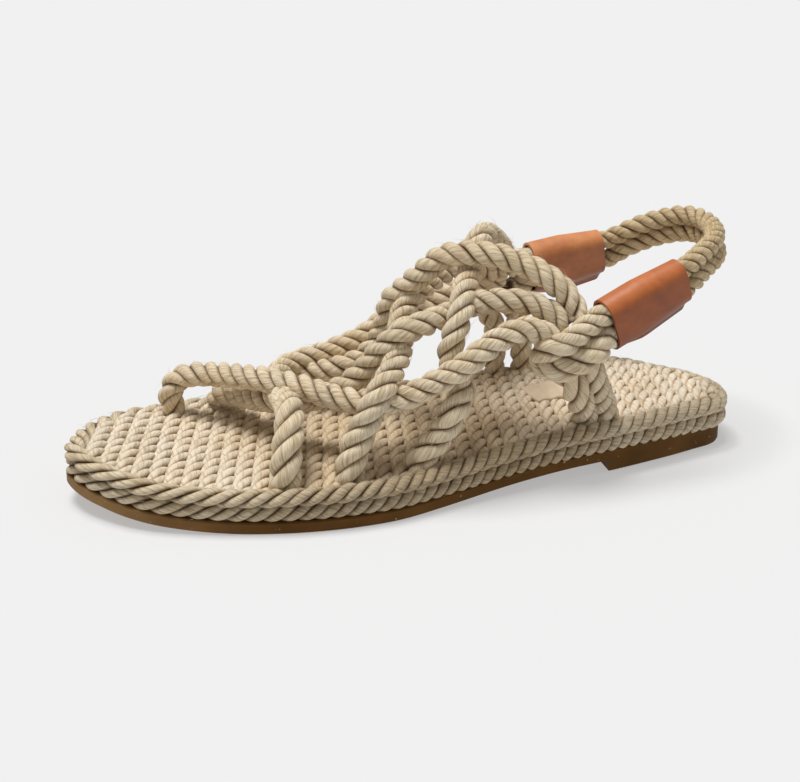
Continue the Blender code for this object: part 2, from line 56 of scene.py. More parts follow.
LEG_ROPE = 0.0120
KNOT_ROPE = 0.0092
HEEL_ROPE = 0.0076
LOWER_ROPE_OUT = 0.0010
SLEEVE_WALL = 0.0011
SLEEVE_SEAM_DROP = 0.0028
SEAT_GAP = 0.0003

# Places on the frame's solids, as shares of the sole's length or the ball width
ORIGIN_ALONG = 0.33
SPRING_END = 0.248
ARCH_START = 0.416
ARCH_END = 0.733
HEEL_FRONT = 0.780
TOE_TIP_ACROSS = 0.015
HEEL_TIP_ACROSS = 0.008

# Strands: radius as a share of the rope's, and how far they swell and wander, in radii and radians
STRANDS = 3
STRAND_FAT = 0.455
SWELL = 0.05
WANDER = 0.10
UV_SCALE = 100.0
UV_SHIFT = (3.7, 1.3)
ROPE_STEP = 0.0008
ROPE_SIDES = 16
# length of one turn of a strand, in rope widths
ROPE_PITCH = 2.02
STRAYS_PER_METRE = 550
RIM_STRAY_RADIUS = 0.0031

# Rubber sole
SOLE_STATIONS = 190
SOLE_BEVEL = 0.0005
HEEL_BEVEL = 0.0015

# Ropes on the rim. Strands are this far apart at the toe and heel. The swell is how much taller
# the rope grows to the heel, and it lies lower at the rear and at the far side's ends.
RIM_STEP = 0.0009
RIM_SINK = 0.0002
RimRope = namedtuple("RimRope", "name cad_node row width height out toe_strand heel_strand swell "
                                "rear_drop far_drop seed")
RIM_ROPES = (
    RimRope("rim_rope_lower", "edge_rope_lower", 0, width=0.0080, height=0.0060, out=0.0003,
            toe_strand=0.0073, heel_strand=0.0050, swell=0.20, rear_drop=0.0015, far_drop=0.0,
            seed=3),
    RimRope("rim_rope_upper", "edge_rope_upper", 1, width=0.0084, height=0.0062, out=0.0004,
            toe_strand=0.0088, heel_strand=0.0053, swell=0.12, rear_drop=0.0010, far_drop=0.0011,
            seed=4),
)

# Rows of rope on the footbed: places along X, in metres, with what changes along the foot there
ROW_SPOTS = (-0.085, -0.045, -0.020, 0.075, 0.145)
ROW_SPACINGS = (0.0063, 0.0063, 0.0064, 0.0059, 0.0056)
ROW_LEANS = (16.0, 15.0, 14.5, 9.0, 4.0)
ROW_BUMPS = (0.0076, 0.0075, 0.0074, 0.0071, 0.0070)
ROW_STEPS_ACROSS = (0.0020, 0.0014, 0.0007, 0.0005, 0.0002)
ROW_INSET = 0.0052
ROW_END_GAP = 0.004
ROW_SHORTEST = 0.009
ROW_POINTS = 40
ROW_HEIGHT = 0.0058
ROW_RISE = 0.0004
ROW_OVERLAP = 1.20
CORE_INSET = 0.004
CORE_BOTTOM = 0.0003
CORE_TOP = 0.0070

# Patch on the footbed
PATCH_ALONG = 0.754
PATCH_ACROSS = 0.098
PATCH_TURN_DEGREES = 10.0
PATCH_LENGTH = 0.030
PATCH_WIDTH = 0.016
PATCH_THICKNESS = 0.0012

# Colours, linear
WHITE = (1.0, 1.0, 1.0)
BLACK = (0.0, 0.0, 0.0)
# the third tone of each set is painted shade between the strands
Tones = namedtuple("Tones", "light dark groove")
WEB_TONES = Tones((0.95, 0.84, 0.64), (0.66, 0.51, 0.31), (0.26, 0.15, 0.06))
# the heel strap's tones are a darker copy of the web rope's: painted shade on the heel loop
STRAP_SHADED_TONES = Tones((0.84, 0.67, 0.42), (0.50, 0.36, 0.18), (0.26, 0.14, 0.06))
EDGE_TONES = Tones((0.82, 0.72, 0.54), (0.56, 0.45, 0.29), (0.28, 0.18, 0.09))
ROW_TONES = Tones((0.94, 0.85, 0.70), (0.80, 0.68, 0.51), (0.56, 0.40, 0.24))
# tints along the foot's waist: partly wear, partly painted shade under the web ropes
EDGE_SHADE_AND_WEAR = (0.74, 0.69, 0.62)
ROW_SHADE_AND_WEAR = (0.80, 0.74, 0.64)
RUBBER_TONES = ((0.092, 0.038, 0.005), (0.150, 0.066, 0.010))
RUBBER_TOE_TONES = ((0.215, 0.115, 0.038), (0.300, 0.170, 0.062))
SPECK_TONE = (0.42, 0.28, 0.14)
LEATHER_OUTER = (0.52, 0.150, 0.040)
# the far wrap's tint is a lighter copy of the same leather: painted light for the sheen on its top
LEATHER_INNER_LIT = (0.66, 0.255, 0.095)
LEATHER_EDGE = (0.150, 0.052, 0.020)
PATCH_TONES = ((0.56, 0.44, 0.30), (0.65, 0.52, 0.37))

# Floor, light and camera: metres, degrees and millimetres of film
FLOOR_SIZE = 12.0
FLOOR_SPOT = (0.04, 0.0, -0.0002)
FLOOR_TONE = 0.395
FLOOR_GLOW = 0.40
SKY_STRENGTH = 0.30
KEY_DIRECTION = (-0.17, 0.12, 1.0)
KEY_STRENGTH = 2.92
KEY_SPREAD = 26.0
CAMERA_TARGET = (0.04103, 0.001, 0.030)
CAMERA_TURN = -15.0
CAMERA_TILT = 22.5
CAMERA_DISTANCE = 0.7
FOCAL_LENGTH = 83.51
SENSOR_WIDTH = 36.0

UP = np.array((0.0, 0.0, 1.0))
TURN = 2.0 * math.pi

# Outline of the sole: shares of its length from the toe, and of the ball width to each side
Breadth = namedtuple("Breadth", "along outer inner")
OUTLINE = (
    Breadth(0.009, -0.076, 0.096),
    Breadth(0.022, -0.135, 0.202),
    Breadth(0.040, -0.191, 0.282),
    Breadth(0.065, -0.257, 0.363),
    Breadth(0.099, -0.318, 0.436),
    Breadth(0.139, -0.365, 0.480),
    Breadth(0.188, -0.410, 0.504),
    Breadth(0.238, -0.446, 0.514),
    Breadth(0.297, -0.475, 0.514),
    Breadth(0.366, -0.486, 0.504),
    Breadth(0.436, -0.471, 0.484),
    Breadth(0.515, -0.423, 0.454),
    Breadth(0.604, -0.367, 0.426),
    Breadth(0.693, -0.322, 0.411),
    Breadth(0.772, -0.281, 0.413),
    Breadth(0.842, -0.240, 0.436),
    Breadth(0.893, -0.209, 0.421),
    Breadth(0.934, -0.181, 0.318),
    Breadth(0.966, -0.158, 0.235),
    Breadth(0.987, -0.116, 0.142),
)

# Rope routes, in hundredths: of the sole's length from the toe, of the ball width across,
# and of the web's height above the footbed
Knee = namedtuple("Knee", "along across rise")
INNER_FRONT = (
    Knee(17.5, 39, 0), Knee(17.2, 39, 10), Knee(18.3, 38, 18), Knee(20.6, 34, 23),
    Knee(24.6, 22.5, 27.5), Knee(28.7, 8, 32), Knee(33.4, -7, 34), Knee(36.8, -16.5, 33),
    Knee(40.1, -24.5, 33), Knee(42.9, -29, 34), Knee(46.8, -33, 38), Knee(51.0, -34, 44),
    Knee(54.7, -34, 50), Knee(57.6, -33, 56), Knee(60.3, -32, 60), Knee(63.3, -31, 62),
    Knee(66.3, -30, 58), Knee(69.1, -28.5, 49),
)
INNER_MIDDLE = (
    Knee(24.6, 42, 0), Knee(24.8, 38, 7), Knee(27.5, 24.5, 13), Knee(30.2, 8, 19),
    Knee(33.6, -4, 24), Knee(36.3, -9, 29), Knee(39.5, -11.5, 34), Knee(42.1, -13.5, 43),
    Knee(44.3, -16.5, 55), Knee(46.9, -18.5, 63.5), Knee(50.4, -17.5, 67), Knee(54.3, -13.5, 67),
    Knee(56.9, -14.5, 71), Knee(59.4, -17.5, 73), Knee(62.7, -20.5, 73), Knee(65.9, -22.5, 70),
    Knee(68.3, -24.5, 65), Knee(70.7, -26.5, 57),
)
INNER_REAR = (
    Knee(32.5, 44, 0), Knee(32.7, 42, 8), Knee(34.6, 39, 14), Knee(36.6, 33, 19),
    Knee(39.6, 28.5, 21), Knee(42.7, 23.5, 25.5), Knee(45.8, 21.5, 31), Knee(48.1, 20.5, 43),
    Knee(49.3, 16.5, 64), Knee(51.0, 11.5, 73), Knee(53.2, 6, 83), Knee(55.1, 2, 91),
    Knee(57.2, -2, 94), Knee(59.7, -6, 94), Knee(62.3, -10, 93), Knee(65.0, -13.5, 89),
    Knee(67.3, -17.5, 85), Knee(69.4, -20.5, 79), Knee(71.1, -22.5, 72), Knee(72.5, -25.5, 60),
)
OUTER_FRONT = (
    Knee(28.6, -37, 0), Knee(28.7, -37, 7), Knee(29.1, -35, 16), Knee(29.8, -31, 24),
    Knee(30.4, -24.5, 30), Knee(30.9, -11.5, 29), Knee(31.3, 6, 24), Knee(32.1, 21.5, 23),
    Knee(34.0, 30, 24), Knee(36.9, 33, 26), Knee(40.5, 34, 28), Knee(43.8, 35, 31),
    Knee(47.1, 36, 35), Knee(50.2, 37, 41), Knee(53.4, 37, 44), Knee(57.4, 38, 47),
    Knee(61.5, 39, 50), Knee(65.6, 40, 53), Knee(69.3, 40, 54),
)
OUTER_MIDDLE = (
    Knee(37.7, -37, 0), Knee(37.9, -37, 6), Knee(38.8, -36, 15), Knee(40.0, -35, 25),
    Knee(41.2, -35, 35), Knee(42.8, -33, 43), Knee(44.3, -28.5, 47), Knee(45.9, -22.5, 51),
    Knee(47.7, -11.5, 54), Knee(48.6, -2, 57), Knee(49.9, 6, 62), Knee(52.1, 11.5, 67),
    Knee(54.9, 18.5, 69), Knee(57.6, 24.5, 70), Knee(61.3, 30, 69), Knee(65.6, 36, 64),
    Knee(69.1, 40, 57),
)
OUTER_REAR = (
    Knee(48.0, -34, 0), Knee(48.9, -35, 6), Knee(50.4, -35, 12), Knee(51.7, -35, 18),
    Knee(52.7, -35, 25), Knee(54.2, -32, 30), Knee(55.0, -28.5, 35), Knee(54.3, -25.5, 42),
    Knee(53.6, -24.5, 49), Knee(53.8, -24.5, 57), Knee(54.6, -23.5, 65), Knee(55.6, -20.5, 72),
    Knee(56.8, -13.5, 78), Knee(58.8, -3, 81), Knee(60.4, 6, 87), Knee(62.0, 11.5, 92.5),
    Knee(64.1, 18.5, 91), Knee(66.5, 25.5, 82), Knee(68.5, 33, 71), Knee(70.1, 39, 59),
)
OUTER_WRAP = (
    Knee(74.9, -19, 0), Knee(74.2, -21.5, 7.5), Knee(73.0, -25.5, 16), Knee(71.8, -28, 24.5),
    Knee(70.8, -27.5, 31), Knee(68.8, -26.5, 38), Knee(67.0, -28, 43.5), Knee(66.5, -31, 47.5),
    Knee(67.1, -33.5, 50.5), Knee(68.6, -35, 52), Knee(70.3, -34, 54), Knee(72.1, -32, 57),
    Knee(74.0, -30, 60),
)
OUTER_TUCK = (
    Knee(74.8, -32, 47), Knee(72.9, -34, 43.5), Knee(71.0, -34.5, 40.5), Knee(69.2, -34, 38.5),
    Knee(67.9, -31, 38), Knee(67.2, -27, 39.5), Knee(67.8, -23, 43),
)
OUTER_SPARE_LEG = (
    Knee(78.2, -19, 0), Knee(77.5, -21, 9), Knee(75.8, -25.5, 22), Knee(74.4, -28, 34),
    Knee(73.5, -26, 44),
)
INNER_WRAP = (
    Knee(67.9, 38, 0), Knee(68.1, 39, 10), Knee(68.5, 42, 22), Knee(67.7, 44, 30),
    Knee(66.3, 45, 37), Knee(65.6, 45, 44), Knee(66.0, 46, 50), Knee(67.3, 47, 54),
    Knee(69.3, 46, 57), Knee(71.6, 44, 60),
)
INNER_TUCK = (
    Knee(72.3, 45, 46), Knee(70.3, 47, 43), Knee(68.7, 46, 43), Knee(67.5, 42, 46),
)
INNER_SPARE_LEG = (
    Knee(72.5, 38, 0), Knee(72.5, 38.5, 8), Knee(72.3, 41, 20), Knee(71.5, 43, 34),
    Knee(69.9, 41, 48),
)
HEEL_LOOP = (
    Knee(93.1, -11.5, 83.5), Knee(96.4, -3, 85.5), Knee(98.6, 9, 86), Knee(99.1, 19.5, 86.5),
    Knee(98.3, 27.5, 86.5), Knee(96.8, 33, 85), Knee(94.7, 38, 81.5), Knee(92.0, 42, 77),
    Knee(89.4, 45, 71.5),
)
SLEEVE_ENDS = {
    "outer": (Knee(76.3, -28.5, 57), Knee(89.5, -18.5, 74)),
    "inner": (Knee(74.1, 43, 56), Knee(86.6, 47, 61)),
}


def length(share):
    return (share - ORIGIN_ALONG) * SOLE_LENGTH


def share_at(x):
    return np.clip(x / SOLE_LENGTH + ORIGIN_ALONG, 0.0, 1.0)


def eased(share):
    """Smooth step between 0 and 1."""
    return share * share * (3.0 - 2.0 * share)


def underside(x):
    """Height of the rubber's underside in front of the heel: toe spring, flat ball, arch."""
    along = share_at(x)
    toe = np.maximum(0.0, 1.0 - along / SPRING_END) ** 2.1
    rise = np.clip((along - ARCH_START) / (ARCH_END - ARCH_START), 0.0, 1.0)
    return TOE_SPRING * toe + HEEL_LIFT * rise * rise * (3.0 - 2.0 * rise)


def rubber_top(x):
    return underside(x) + RUBBER_THICKNESS


def footbed(x):
    """Height of the rows' tops."""
    return rubber_top(x) + 2.0 * (EDGE_ROPE_HEIGHT + SEAT_GAP)


def smooth_path(points, steps, closed=False):
    """Centripetal Catmull-Rom curve through the points."""
    points = np.asarray(points, float)
    count = len(points)
    spans = count if closed else count - 1
    path = []
    for index in range(spans):
        if closed:
            p0, p1, p2, p3 = (points[(index + k) % count] for k in (-1, 0, 1, 2))
        else:
            p1, p2 = points[index], points[index + 1]
            p0 = points[index - 1] if index > 0 else 2.0 * p1 - p2
            p3 = points[index + 2] if index + 2 < count else 2.0 * p2 - p1
        t1 = math.sqrt(np.linalg.norm(p1 - p0))
        t2 = t1 + math.sqrt(np.linalg.norm(p2 - p1))
        t3 = t2 + math.sqrt(np.linalg.norm(p3 - p2))
        t = (t1 + (t2 - t1) * np.arange(steps) / steps)[:, None]
        a1 = p0 * (t1 - t) / t1 + p1 * t / t1
        a2 = p1 * (t2 - t) / (t2 - t1) + p2 * (t - t1) / (t2 - t1)
        a3 = p2 * (t3 - t) / (t3 - t2) + p3 * (t - t2) / (t3 - t2)
        b1 = a1 * (t2 - t) / t2 + a2 * t / t2
        b2 = a2 * (t3 - t) / (t3 - t1) + a3 * (t - t1) / (t3 - t1)
        path.append(b1 * (t2 - t) / (t2 - t1) + b2 * (t - t1) / (t2 - t1))
    path = np.concatenate(path)
    return path if closed else np.vstack([path, points[-1]])


def measured(path, closed=False):
    """The path, with its first point again if it is closed, and the way to each point."""
    line = np.vstack([path, path[:1]]) if closed else path
    reach = np.concatenate([[0.0], np.cumsum(np.linalg.norm(np.diff(line, axis=0), axis=1))])
    return line, reach


def resample(path, count, closed=False):
    """Points at even distances along the path."""
    line, reach = measured(path, closed)
    goals = np.linspace(0.0, reach[-1], count, endpoint=not closed)
    return np.stack([np.interp(goals, reach, line[:, k]) for k in range(3)], 1)


def sole_outline():
    """Closed outline of the sole seen from above, from the toe along the outer side."""
    toe = [(length(0.0), TOE_TIP_ACROSS * BALL_WIDTH, 0.0)]
    heel = [(length(1.0), HEEL_TIP_ACROSS * BALL_WIDTH, 0.0)]
    outer = [(length(row.along), row.outer * BALL_WIDTH, 0.0) for row in OUTLINE]
    inner = [(length(row.along), row.inner * BALL_WIDTH, 0.0) for row in OUTLINE]
    path = smooth_path(toe + outer + heel + inner[::-1], 12, closed=True)
    return resample(path, 480, closed=True)


def inset(outline, distance, undercut=0.0):
    """The outline moved inwards, and by up to undercut more towards the heel's rear."""
    ahead = np.roll(outline, -1, 0) - np.roll(outline, 1, 0)
    inward = np.stack([-ahead[:, 1], ahead[:, 0], np.zeros(len(ahead))], 1)
    inward /= np.linalg.norm(inward, axis=1)[:, None]
    rear = np.maximum((share_at(outline[:, 0]) - HEEL_FRONT) / (1.0 - HEEL_FRONT), 0.0)
    return outline + inward * (distance + undercut * rear * rear)[:, None]


def chord(outline, point, direction):
    """First and last crossing of the outline with a line seen from above."""
    across = np.array((-direction[1], direction[0]))
    side = (outline[:, :2] - point[:2]) @ across
    following = np.roll(side, -1)
    hits = np.nonzero((side < 0.0) != (following < 0.0))[0]
    if len(hits) < 2:
        return None
    share = (side[hits] / (side[hits] - following[hits]))[:, None]
    spots = outline[hits, :2] * (1.0 - share) + np.roll(outline, -1, 0)[hits, :2] * share
    reach = (spots - point[:2]) @ direction[:2]
    return point[:2] + direction[:2] * reach.min(), point[:2] + direction[:2] * reach.max()


def place(knee):
    x = length(knee.along / 100.0)
    z = footbed(x) + knee.rise / 100.0 * WEB_HEIGHT
    return np.array((x, knee.across / 100.0 * BALL_WIDTH, z))


def legged(route, sink=0.004):
    """A route that goes down through the footbed at its first point."""
    points = [place(knee) for knee in route]
    foot = points[0].copy()
    foot[2] -= sink
    return [foot] + points


def sleeve_frame(side):
    """Ends of a leather wrap, and its directions along, up and sideways."""
    front, rear = (place(knee) for knee in SLEEVE_ENDS[side])
    along = (rear - front) / np.linalg.norm(rear - front)
    sideways = np.cross(along, UP)
    sideways /= np.linalg.norm(sideways)
    return front, rear, along, np.cross(sideways, along), sideways


def knot_tail(side, level):
    """Points where a knot's rope runs into its wrap; level is 1 for the upper, -1 for the lower."""
    front, rear, along, up, _ = sleeve_frame(side)
    half = KNOT_ROPE / 2.0 * level
    reach = np.linalg.norm(rear - front)
    return [front + along * (share * reach) + up * half for share in (0.42, 0.18, -0.04)]


def strap_tail(side, level):
    """Points where a heel strap's rope runs into its wrap, with level as in knot_tail."""
    front, rear, along, up, _ = sleeve_frame(side)
    half = (HEEL_ROPE + SEAT_GAP) / 2.0 * level
    reach = np.linalg.norm(rear - front)
    return [front + along * (share * reach) + up * half for share in (0.55, 0.80, 1.04)]


# Meshes

def build(name, verts, quads, uvs=None, crest=None, tone=None):
    """Smooth mesh object from arrays; uvs, crest and tone are given at each vertex."""
    mesh = bpy.data.meshes.new(name)
    mesh.vertices.add(len(verts))
    mesh.vertices.foreach_set("co", np.asarray(verts, np.float32).ravel())
    quads = np.asarray(quads, np.int32)
    mesh.loops.add(quads.size)
    mesh.loops.foreach_set("vertex_index", quads.ravel())
    mesh.polygons.add(len(quads))
    starts = np.arange(len(quads), dtype=np.int32) * quads.shape[1]
    mesh.polygons.foreach_set("loop_start", starts)
    mesh.update(calc_edges=True)
    mesh.validate()
    if uvs is not None:
        layer = mesh.uv_layers.new(name="fibre")
        index = np.empty(len(mesh.loops), np.int32)
        mesh.loops.foreach_get("vertex_index", index)
        layer.data.foreach_set("uv", np.asarray(uvs, np.float32)[index].ravel())
    for label, values in (("crest", crest), ("tone", tone)):
        if values is not None:
            attribute = mesh.attributes.new(label, "FLOAT", "POINT")
            attribute.data.foreach_set("value", np.asarray(values, np.float32))
    mesh.shade_smooth()
    obj = bpy.data.objects.new(name, mesh)
    bpy.context.scene.collection.objects.link(obj)
    return obj


def capped(obj, split=False):
    """Close a mesh's open ends and turn its faces outwards; split cuts up the closing faces."""
    mesh = bmesh.new()
    mesh.from_mesh(obj.data)
    bmesh.ops.holes_fill(mesh, edges=[edge for edge in mesh.edges if edge.is_boundary])
    bmesh.ops.recalc_face_normals(mesh, faces=mesh.faces)
    if split:
        bmesh.ops.triangulate(mesh, faces=[face for face in mesh.faces if len(face.verts) > 4])
    mesh.to_mesh(obj.data)
    mesh.free()


def tube_quads(first, second):
    """Quads between rings of vertex numbers, one row to a ring."""
    ahead = np.roll(first, -1, 1), np.roll(second, -1, 1)
    return np.stack([first, ahead[0], ahead[1], second], -1).reshape(-1, 4)


def frames_along(path, closed, up=None):
    """Unit tangents and two normals at each point: level with up, or carried along untwisted."""
    if closed:
        tangent = np.roll(path, -1, 0) - np.roll(path, 1, 0)
    else:
        tangent = np.gradient(path, axis=0)
    tangent /= np.linalg.norm(tangent, axis=1)[:, None]
    if up is not None:
        side = np.cross(tangent, np.broadcast_to(up, tangent.shape))
        side /= np.linalg.norm(side, axis=1)[:, None]
        return tangent, np.cross(side, tangent), side
    normal = np.empty_like(path)
    start = UP if abs(tangent[0, 2]) < 0.8 else np.array((1.0, 0.0, 0.0))
    normal[0] = start - tangent[0] * (start @ tangent[0])
    for k in range(1, len(path)):
        normal[k] = normal[k - 1] - tangent[k] * (normal[k - 1] @ tangent[k])
        normal[k] /= np.linalg.norm(normal[k])
    normal[0] /= np.linalg.norm(normal[0])
    return tangent, normal, np.cross(tangent, normal)


def smooth_noise(dice, count, spread, closed):
    """Soft noise between about -1 and 1 along a run of points."""
    stops = max(4, count // (spread * 2))
    values = dice.uniform(-1.0, 1.0, stops)
    if closed:
        values = np.append(values, values[0])
    else:
        values = np.append(values, dice.uniform(-1.0, 1.0))
    x = np.linspace(0.0, stops, count, endpoint=not closed)
    low = np.minimum(x.astype(int), stops - 1)
    share = eased(x - low)
    return values[low] * (1.0 - share) + values[low + 1] * share


def stranded(path, width, pitch, sides, step, lay=1.0, phase=0.0, height=None, up=None,
             closed=False, fat=STRAND_FAT, seed=0, shear=0.0):
    """Three strands laid round a path. Width, height and pitch may change along it.

    Sides is even, and closed or not, each strand is a closed skin. Lay is 1 or -1, the way that
    the strands turn. Fat is a strand's radius as a share of the rope's. Shear slides the surface
    along the path, in proportion to how far it lies to the side.
    """
    dice = np.random.default_rng(seed)
    line, reach = measured(np.asarray(path, float), closed)
    total = reach[-1]
    rings = int(round(total / step))
    stops = np.linspace(0.0, total, rings, endpoint=not closed)
    centre = np.stack([np.interp(stops, reach, line[:, k]) for k in range(3)], 1)
    _, normal, side = frames_along(centre, closed, up)
    half_w = np.broadcast_to(np.asarray(width, float) / 2.0, (rings,))
    half_h = half_w
    if height is not None:
        half_h = np.broadcast_to(np.asarray(height, float) / 2.0, (rings,))
    pitch = np.broadcast_to(np.asarray(pitch, float), (rings,))
    turn = np.cumsum(TURN * total / (rings - (not closed)) / pitch)
    turn = np.concatenate([[0.0], turn])[:rings]
    if closed:
        full = turn[-1] + TURN * total / rings / pitch[-1]
        turn *= TURN * round(full / TURN) / full
    mean = (half_w + half_h) / 2.0
    offset = 1.0 - fat
    psi = TURN * np.arange(sides) / sides
    cp, sp = np.cos(psi)[None], np.sin(psi)[None]
    around = np.where(psi > math.pi, psi - TURN, psi)[None]
    grid = np.arange(rings * sides).reshape(rings, sides)
    if closed:
        faces = tube_quads(grid, np.roll(grid, -1, 0))
    else:
        fan = np.arange(0, sides - 2, 2)
        cap = np.stack([np.zeros_like(fan), fan + 3, fan + 2, fan + 1], 1)
        far_cap = (rings - 1) * sides + cap[:, ::-1]
        faces = np.vstack([tube_quads(grid[:-1], grid[1:]), cap, far_cap])
    # rate is how fast a strand's centre goes round, and slant is how far its outer side leans
    rate = lay * TURN / pitch * mean * offset
    slope = np.sqrt(1.0 + rate * rate)
    tangential = (1.0 / slope)[:, None]
    along = (-rate / slope)[:, None]
    slant = np.arctan(np.abs(TURN / pitch * mean))[:, None]
    run = stops[:, None] / np.cos(slant)
    verts, quads, uvs, crest, tone = [], [], [], [], []
    for k in range(STRANDS):
        swell = 1.0 + SWELL * smooth_noise(dice, rings, 9, closed)
        wander = WANDER * smooth_noise(dice, rings, 7, closed)
        angle = phase + lay * turn + TURN * k / STRANDS + wander
        ca, sa = np.cos(angle)[:, None], np.sin(angle)[:, None]
        thick = (fat * swell)[:, None]
        n = ca * (offset + thick * cp) - sa * thick * sp * tangential
        b = sa * (offset + thick * cp) + ca * thick * sp * tangential
        s = stops[:, None] + thick * sp * along * mean[:, None] + shear * b * half_w[:, None]
        if closed:
            s, knots = np.mod(s, total), np.append(stops, total)
            tracks = [np.vstack([track, track[:1]]) for track in (centre, normal, side)]
        else:
            s, knots, tracks = np.clip(s, 0.0, total), stops, (centre, normal, side)
        point = np.stack([np.interp(s, knots, tracks[0][:, q])
                          + n * half_h[:, None] * np.interp(s, knots, tracks[1][:, q])
                          + b * half_w[:, None] * np.interp(s, knots, tracks[2][:, q])
                          for q in range(3)], -1)
        w = around * thick * mean[:, None]
        u = w * np.cos(slant) + lay * run * np.sin(slant)
        v = -lay * w * np.sin(slant) + run * np.cos(slant)
        u, v = u * UV_SCALE + UV_SHIFT[0] * k, v * UV_SCALE + UV_SHIFT[1] * k
        quads.append(len(verts) * rings * sides + faces)
        verts.append(point.reshape(-1, 3))
        uvs.append(np.stack([u, v], -1).reshape(-1, 2))
        crest.append(np.sqrt(n * n + b * b).ravel())
        tone.append(np.full(rings * sides, dice.uniform(-1.0, 1.0)))
    return [np.concatenate(part) for part in (verts, quads, uvs, crest, tone)]


def joined(pieces):
    """Several pieces' arrays as one."""
    out = []
    base = 0
    for verts, quads, uvs, crest, tone in pieces:
        out.append((verts, quads + base, uvs, crest, tone))
        base += len(verts)
    return [np.concatenate([piece[k] for piece in out]) for k in range(5)]


# Materials

def shader(name):
    material = bpy.data.materials.new(name)
    material.use_nodes = True
    tree = material.node_tree
    return material, tree, tree.nodes["Principled BSDF"]


def settings(target, **values):
    """Set sockets by name, with _ for a space."""
    for key, value in values.items():
        target.inputs[key.replace("_", " ")].default_value = value


def node(tree, kind, **values):
    """New node; a value is a property of the node, or else a socket."""
    made = tree.nodes.new(kind)
    for key, value in values.items():
        if hasattr(made, key):
            setattr(made, key, value)
        else:
            settings(made, **{key: value})
    return made


def object_spot(tree):
    return node(tree, "ShaderNodeTexCoord").outputs["Object"]


def attribute_of(tree, name):
    return node(tree, "ShaderNodeAttribute", attribute_name=name).outputs["Fac"]


def ramp(tree, source, stops):
    made = tree.nodes.new("ShaderNodeValToRGB")
    elements = made.color_ramp.elements
    while len(elements) < len(stops):
        elements.new(0.5)
    for element, (spot, color) in zip(elements, stops):
        element.position = spot
        element.color = (*color, 1.0)
    tree.links.new(source, made.inputs["Fac"])
    return made.outputs["Color"]


def ranged(tree, source, low, high, first, last):
    made = node(tree, "ShaderNodeMapRange", From_Min=low, From_Max=high, To_Min=first, To_Max=last)
    tree.links.new(source, made.inputs["Value"])
    return made.outputs["Result"]


def along_x(tree, spot, low, high, first, last):
    made = node(tree, "ShaderNodeSeparateXYZ")
    tree.links.new(spot, made.inputs["Vector"])
    return ranged(tree, made.outputs["X"], low, high, first, last)


def mix(tree, blend, factor, first, second):
    made = node(tree, "ShaderNodeMix", data_type="RGBA", blend_type=blend)
    for name, value in (("Factor", factor), ("A", first), ("B", second)):
        socket = made.inputs[name]
        if isinstance(value, bpy.types.NodeSocket):
            tree.links.new(value, socket)
        elif isinstance(value, tuple):
            socket.default_value = (*value, 1.0)
        else:
            socket.default_value = value
    return made.outputs["Result"]


def scaled_noise(tree, vector, scale, detail, roughness=0.55):
    mapping = node(tree, "ShaderNodeMapping", Scale=scale)
    tree.links.new(vector, mapping.inputs["Vector"])
    made = node(tree, "ShaderNodeTexNoise", Scale=1.0, Detail=detail, Roughness=roughness)
    tree.links.new(mapping.outputs["Vector"], made.inputs["Vector"])
    return made.outputs["Fac"]


def even(scale):
    return (scale, scale, scale)


def bumped(tree, bsdf, height, strength, distance):
    made = node(tree, "ShaderNodeBump", Strength=strength, Distance=distance)
    tree.links.new(height, made.inputs["Height"])
    tree.links.new(made.outputs["Normal"], bsdf.inputs["Normal"])


def rope_material(name, tones, fibre=1.0, shade_and_wear=None, shade_and_wear_end=0.60):
    """Twisted fibre: fine lines along the yarns, uneven tone, painted shade between the strands.

    Fibre scales how close the lines are. The argument after it is the tint that the material takes
    along the foot's waist, partly wear and partly painted shade under the web ropes, and the last
    is where that starts to end along the sole.
    """
    material, tree, bsdf = shader(name)
    uv = node(tree, "ShaderNodeUVMap", uv_map="fibre").outputs["UV"]
    spot = object_spot(tree)
    fine = scaled_noise(tree, uv, (38.0 * fibre, 1.3, 1.0), 3.0, 0.66)
    yarn = scaled_noise(tree, uv, (12.0 * fibre, 0.7, 1.0), 2.0, 0.5)
    cloud = scaled_noise(tree, spot, even(55.0), 2.0, 0.5)
    tone = attribute_of(tree, "tone")
    crest = attribute_of(tree, "crest")
    color = ramp(tree, fine, ((0.37, tones.dark), (0.57, tones.light)))
    warm = ramp(tree, cloud, ((0.35, (0.93, 0.88, 0.80)), (0.65, WHITE)))
    color = mix(tree, "MULTIPLY", 0.8, color, warm)
    streak = ramp(tree, yarn, ((0.38, (0.68, 0.60, 0.50)), (0.50, WHITE)))
    color = mix(tree, "MULTIPLY", 0.75, color, streak)
    color = mix(tree, "MULTIPLY", 1.0, color, ranged(tree, tone, -1.0, 1.0, 0.93, 1.05))
    # painted shade between the strands: the groove colour is multiplied in where crest is low
    depth = ramp(tree, crest, ((0.58, WHITE), (0.86, BLACK)))
    color = mix(tree, "MULTIPLY", depth, color, tones.groove)
    # darker tint along the foot's waist: partly wear, partly painted shade under the web ropes
    if shade_and_wear is not None:
        share = along_x(tree, spot, -0.085, 0.175, 0.0, 1.0)
        tint = ramp(tree, share, ((0.20, WHITE), (0.34, shade_and_wear), (shade_and_wear_end, shade_and_wear),
                                  (shade_and_wear_end + 0.12, WHITE)))
        color = mix(tree, "MULTIPLY", 1.0, color, tint)
    tree.links.new(color, bsdf.inputs["Base Color"])
    settings(bsdf, Roughness=0.72, Specular_IOR_Level=0.32, Sheen_Weight=0.22,
             Sheen_Roughness=0.45, Sheen_Tint=(1.0, 0.94, 0.82, 1.0))
    bumped(tree, bsdf, mix(tree, "ADD", 0.6, fine, yarn), 0.75, 0.0007)
    return material


